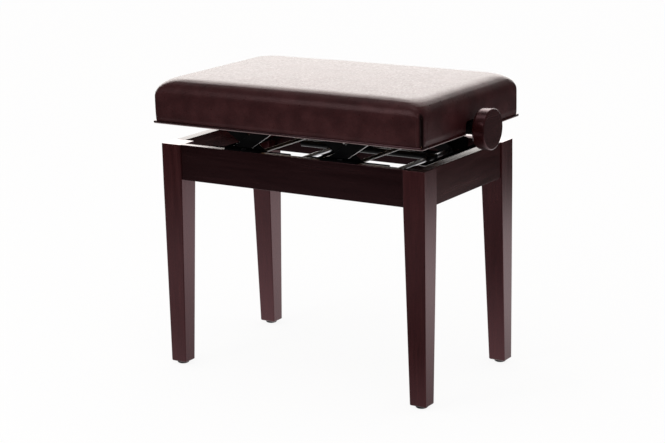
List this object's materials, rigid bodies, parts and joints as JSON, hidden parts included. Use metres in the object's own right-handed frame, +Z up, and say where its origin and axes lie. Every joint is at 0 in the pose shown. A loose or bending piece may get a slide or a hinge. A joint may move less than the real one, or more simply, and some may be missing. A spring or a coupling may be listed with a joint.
{
  "type": "piano bench",
  "caption": "Rectangular padded piano bench on a scissor lift, raised and lowered by a round side knob, over a wooden frame with tapered legs.",
  "frame": {"origin": "on the floor, under the middle of the whole bench with its knob", "axes": "+Z up, +X along the seat towards the knob, +Y to the back"},
  "size_m": [0.582, 0.339, 0.5252],
  "materials": {
    "stained_wood": "dark red-brown stain under satin lacquer",
    "black_steel": "gloss black enamel",
    "bright_steel": "plain turned steel",
    "cover": "dark red-brown grained cover with a soft sheen",
    "plain_wood": "unfinished plywood and softwood",
    "glide_plastic": "moulded"
  },
  "bodies": {
    "frame": {"leg_front_left": "stained_wood", "leg_front_right": "stained_wood", "leg_back_left": "stained_wood", "leg_back_right": "stained_wood", "apron_front": "stained_wood", "apron_back": "stained_wood", "apron_left": "stained_wood", "apron_right": "stained_wood", "bracket_strip_left": "black_steel", "lower_bracket_left_front": "black_steel", "lower_bracket_left_back": "black_steel", "bracket_strip_right": "black_steel", "lower_bracket_right_front": "black_steel", "lower_bracket_right_back": "black_steel", "end_angle": "black_steel", "bracket_screw_left_front": "bright_steel", "bracket_screw_left_back": "bright_steel", "bracket_screw_right_front": "bright_steel", "bracket_screw_right_back": "bright_steel", "glide_front_left": "glide_plastic", "glide_front_right": "glide_plastic", "glide_back_left": "glide_plastic", "glide_back_right": "glide_plastic"},
    "left_outer_arms": {"left_outer_crossbar": "black_steel", "left_outer_arm_front": "black_steel", "left_outer_arm_back": "black_steel", "left_upper_slide_rod": "bright_steel"},
    "left_inner_arms": {"left_inner_crossbar": "black_steel", "left_inner_arm_front": "black_steel", "left_inner_arm_back": "black_steel", "left_lower_slide_rod": "bright_steel"},
    "right_outer_arms": {"right_outer_crossbar": "black_steel", "right_outer_arm_front": "black_steel", "right_outer_arm_back": "black_steel"},
    "right_inner_arms": {"right_inner_crossbar": "black_steel", "right_inner_arm_front": "black_steel", "right_inner_arm_back": "black_steel", "right_lower_slide_rod": "bright_steel"},
    "tie": {"tie_rod": "black_steel"},
    "crosshead": {"screw_crosshead": "bright_steel"},
    "seat": {"trim_front": "stained_wood", "trim_back": "stained_wood", "trim_left": "stained_wood", "trim_right_front": "stained_wood", "trim_right_back": "stained_wood", "upper_bracket_left_front": "black_steel", "upper_bracket_left_back": "black_steel", "upper_bracket_right_front": "black_steel", "upper_bracket_right_back": "black_steel", "spindle_bearing": "black_steel", "spindle_bearing_plate": "black_steel", "cushion": "cover", "seat_rail_front": "plain_wood", "seat_rail_back": "plain_wood", "seat_rail_left": "plain_wood", "seat_rail_right": "plain_wood", "seat_board": "plain_wood"},
    "spindle": {"spindle": "black_steel", "spindle_collar": "black_steel", "knob": "stained_wood"}
  },
  "joints": [
    {"name": "lift", "type": "hinge", "parent": "frame", "child": "left_outer_arms", "pos_m": [-0.17262, 0, 0.379], "axis": [0, -1, 0], "range_deg": [-15.74, 25.01]},
    {"name": "left_scissor", "type": "hinge", "parent": "left_outer_arms", "child": "left_inner_arms", "pos_m": [-0.117, 0, 0.4165], "axis": [0, -1, 0], "range_deg": [-50.04, 31.5]},
    {"name": "seat_pivot", "type": "hinge", "parent": "left_inner_arms", "child": "seat", "pos_m": [-0.17262, 0, 0.454], "axis": [0, -1, 0], "range_deg": [-15.76, 25.03]},
    {"name": "tie_pivot", "type": "hinge", "parent": "left_inner_arms", "child": "tie", "pos_m": [-0.06138, 0, 0.379], "axis": [0, -1, 0], "range_deg": [-15.76, 25.03]},
    {"name": "right_lift", "type": "hinge", "parent": "frame", "child": "right_outer_arms", "pos_m": [0.02338, 0, 0.379], "axis": [0, -1, 0], "range_deg": [-15.76, 25.03]},
    {"name": "right_scissor", "type": "hinge", "parent": "right_outer_arms", "child": "right_inner_arms", "pos_m": [0.079, 0, 0.4165], "axis": [0, -1, 0], "range_deg": [-50.04, 31.5]},
    {"name": "crosshead_pivot", "type": "hinge", "parent": "right_outer_arms", "child": "crosshead", "pos_m": [0.13462, 0, 0.454], "axis": [0, -1, 0], "range_deg": [-25.03, 15.76]},
    {"name": "knob_turn", "type": "hinge", "parent": "seat", "child": "spindle", "pos_m": [0.279, 0, 0.454], "axis": [1, 0, 0], "range_deg": [-1007.38, 1600.66]}
  ],
  "couplings": [
    {"joint": "left_scissor", "follows": "lift", "ratio": -2},
    {"joint": "seat_pivot", "follows": "lift", "ratio": 1},
    {"joint": "tie_pivot", "follows": "lift", "ratio": 1},
    {"joint": "right_lift", "follows": "lift", "ratio": 1},
    {"joint": "right_scissor", "follows": "lift", "ratio": -2},
    {"joint": "crosshead_pivot", "follows": "lift", "ratio": -1},
    {"joint": "knob_turn", "follows": "lift", "ratio": 64}
  ]
}
